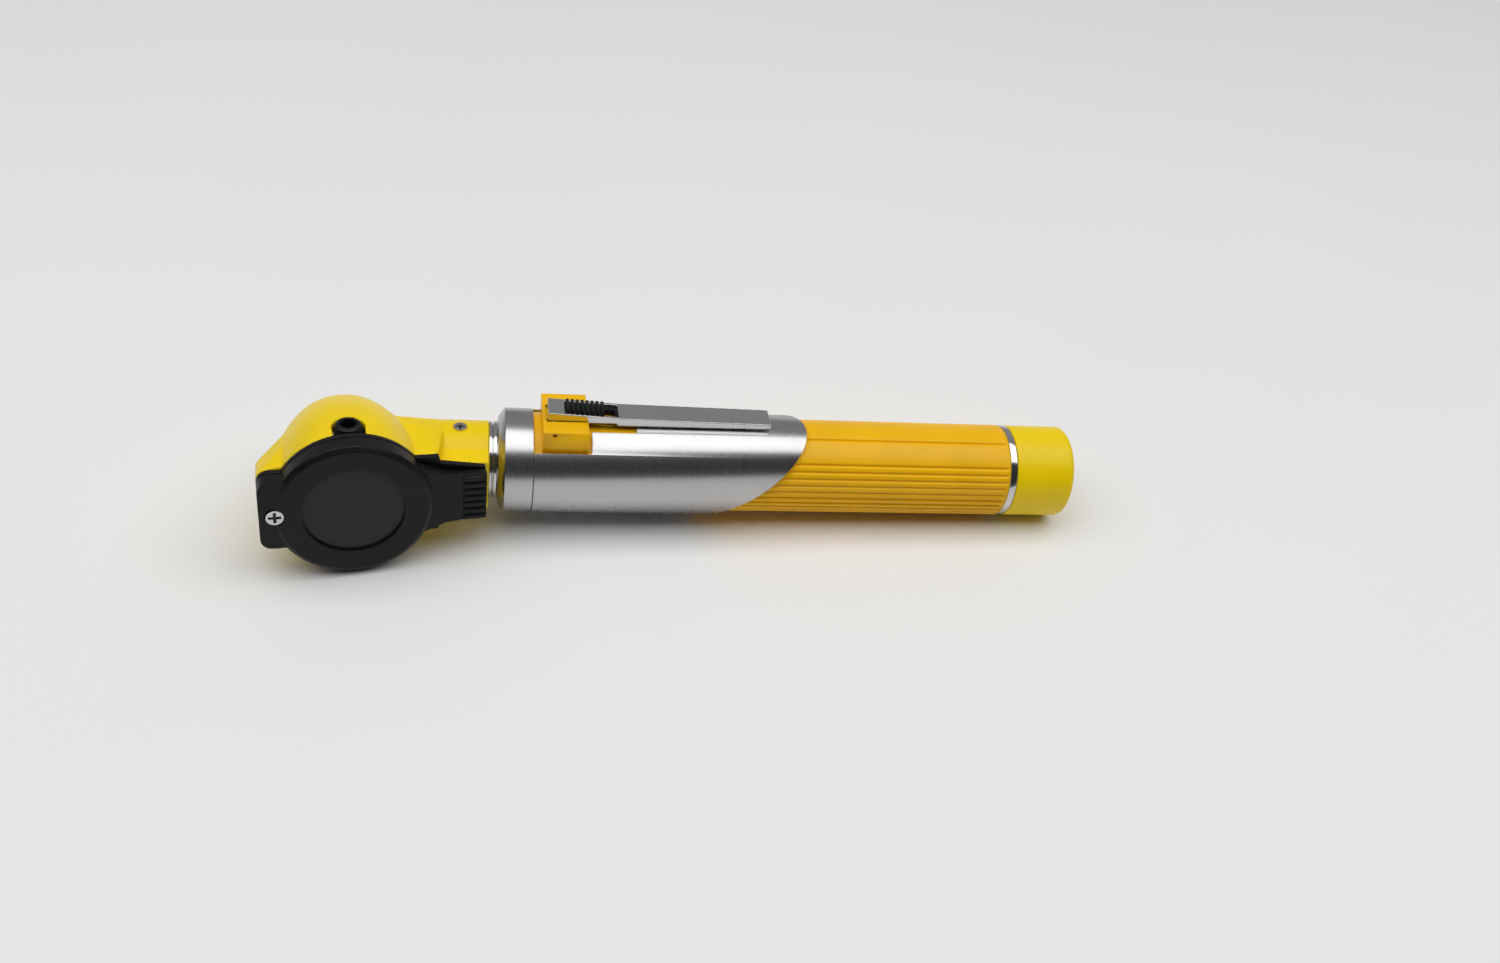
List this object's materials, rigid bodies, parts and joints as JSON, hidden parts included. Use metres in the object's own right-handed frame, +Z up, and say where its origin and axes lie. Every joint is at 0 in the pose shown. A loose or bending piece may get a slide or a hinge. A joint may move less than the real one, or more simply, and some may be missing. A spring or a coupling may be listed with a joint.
{
  "type": "otoscope",
  "caption": "Pocket otoscope lying on its side: round swing-away magnifier window on a yellow head, slim battery handle with metal sleeve, pocket clip and slide switch.",
  "frame": {"origin": "centre of the footprint on the surface the instrument lies on", "axes": "+X along the handle toward the tail, +Y away from the viewer and toward the speculum seat, +Z up toward the pocket clip"},
  "size_m": [0.1637, 0.0348, 0.0296],
  "materials": {
    "yellow_plastic": "satin moulded plastic",
    "black_plastic": "fine matte texture",
    "seal_rubber": "soft black rubber",
    "clear_acrylic": "clear polished plastic",
    "lamp_glass": "clear glass",
    "lens_glass": "polished lens",
    "brass": "plain brass",
    "bright_steel": "polished",
    "satin_chrome": "satin metal, fine blasted",
    "white_plastic": "natural white plastic",
    "cell_wrap": "printed foil wrap without lettering"
  },
  "bodies": {
    "handle": {"collar": "satin_chrome", "sleeve": "satin_chrome", "battery_tube": "yellow_plastic", "clip_block": "yellow_plastic", "clip_pin": "bright_steel", "clip_spring": "bright_steel", "contact_insulator": "black_plastic", "handle_contact": "brass", "contact_strip": "brass", "cell_1": "cell_wrap", "cell_2": "cell_wrap", "tail_ring": "bright_steel"},
    "head": {"head_housing": "yellow_plastic", "rear_frame": "black_plastic", "window_seal": "seal_rubber", "air_port": "black_plastic", "nose": "black_plastic", "light_guide": "clear_acrylic", "fibre_rod": "clear_acrylic", "lamp_bulb": "lamp_glass", "lamp_base": "brass", "head_base": "bright_steel", "head_insulator": "white_plastic", "head_contact": "brass", "neck_ring": "bright_steel", "side_screw": "bright_steel", "pivot_screw": "bright_steel", "pivot_washer": "bright_steel"},
    "lens": {"lens_frame": "black_plastic", "magnifier_lens": "lens_glass", "lens_retainer": "black_plastic"},
    "clip": {"clip": "bright_steel", "switch_bed": "black_plastic"},
    "slider": {"switch_slider": "black_plastic", "switch_contact": "brass"},
    "cap": {"tail_cap": "yellow_plastic", "tail_spring": "bright_steel", "tail_contact": "brass"}
  },
  "joints": [
    {"name": "head_turn", "type": "hinge", "parent": "handle", "child": "head", "pos_m": [-0.03773, 0.00343, 0.0125], "axis": [0.9997, 0, -0.0251], "continuous": true},
    {"name": "lens_swing", "type": "hinge", "parent": "head", "child": "lens", "pos_m": [-0.07794, -0.01345, 0.01558], "axis": [-0.1594, 0.9803, -0.1164], "range_deg": [-90, 90]},
    {"name": "clip_flex", "type": "hinge", "parent": "handle", "child": "clip", "pos_m": [-0.02667, 0.00472, 0.02275], "axis": [0.0031, -0.9925, 0.1218], "range_deg": [0, 4.5], "stiffness_Nm_per_rad": 1.2, "springref_deg": -2.29},
    {"name": "switch_slide", "type": "slide", "parent": "clip", "child": "slider", "axis": [0.9962, -0.0077, -0.0873], "range_m": [0, 0.0026]},
    {"name": "cap_turn", "type": "hinge", "parent": "handle", "child": "cap", "pos_m": [0.06874, 0.00343, 0.00983], "axis": [0.9997, 0, -0.0251], "continuous": true}
  ]
}
